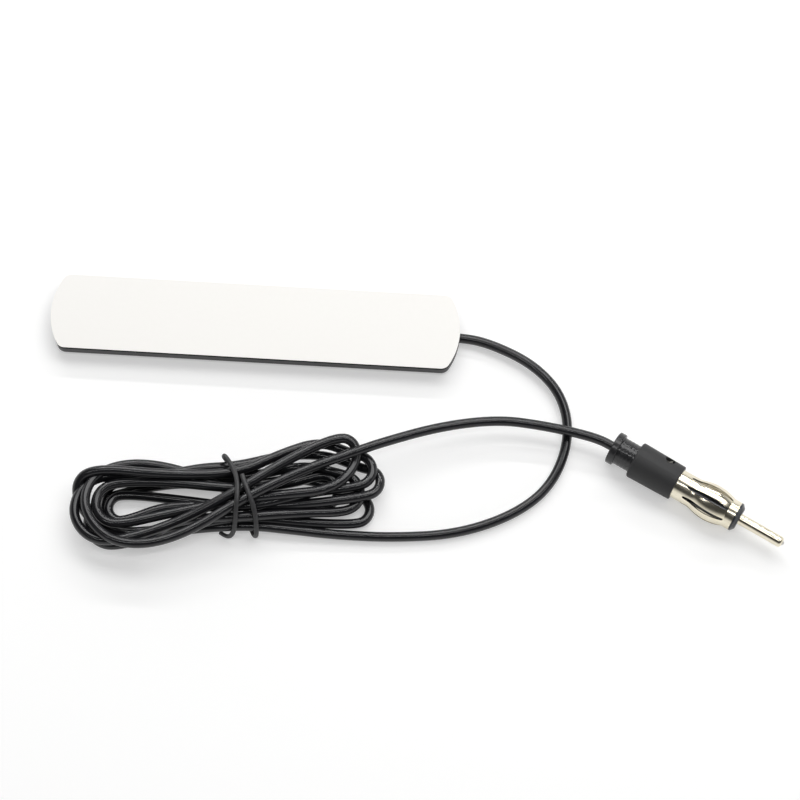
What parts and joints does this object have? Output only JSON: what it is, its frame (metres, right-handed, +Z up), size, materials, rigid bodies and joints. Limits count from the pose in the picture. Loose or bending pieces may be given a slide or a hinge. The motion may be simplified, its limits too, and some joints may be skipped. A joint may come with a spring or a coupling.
{
  "type": "car radio aerial",
  "caption": "Flat adhesive strip aerial for a car window, with a thin coaxial lead tied in a hank and a straight aerial plug with a slotted spring contact.",
  "frame": {"origin": "centre of the strip's outline on the surface that it lies on", "axes": "+X along the strip to the cable's exit, +Y across the strip away from the hank, +Z up, from the smooth face to the adhesive side"},
  "size_m": [0.2061, 0.0792, 0.0107],
  "materials": {
    "housing_black": "satin moulded plastic",
    "board_green": "lacquered board",
    "copper": "bare copper",
    "solder": "bright solder",
    "foam_black": "closed-cell foam tape",
    "liner_white": "waxed paper",
    "dielectric_white": "smooth",
    "braid_copper": "tinned copper strands",
    "jacket_black": "satin jacket",
    "tie_black": "satin coating on wire",
    "relief_black": "smooth soft moulding",
    "grip_black": "fine matt texture",
    "nickel": "nickel plating",
    "insulator_black": "polished moulding"
  },
  "bodies": {
    "root": {"strip_housing": "housing_black", "antenna_board": "board_green", "radiator_trace": "copper", "board_solder": "solder", "adhesive_pad": "foam_black", "release_liner": "liner_white", "strip_dielectric": "dielectric_white", "strip_core_wire": "copper", "strip_braid": "braid_copper", "strip_lead": "jacket_black", "cable_hank": "jacket_black", "plug_lead": "jacket_black", "twist_tie": "tie_black", "strain_relief": "relief_black", "plug_housing": "grip_black", "contact_sleeve": "nickel", "plug_insulator": "insulator_black", "centre_pin": "nickel", "pin_solder": "solder", "plug_core_wire": "copper", "plug_dielectric": "dielectric_white", "plug_braid": "braid_copper"}
  },
  "joints": []
}
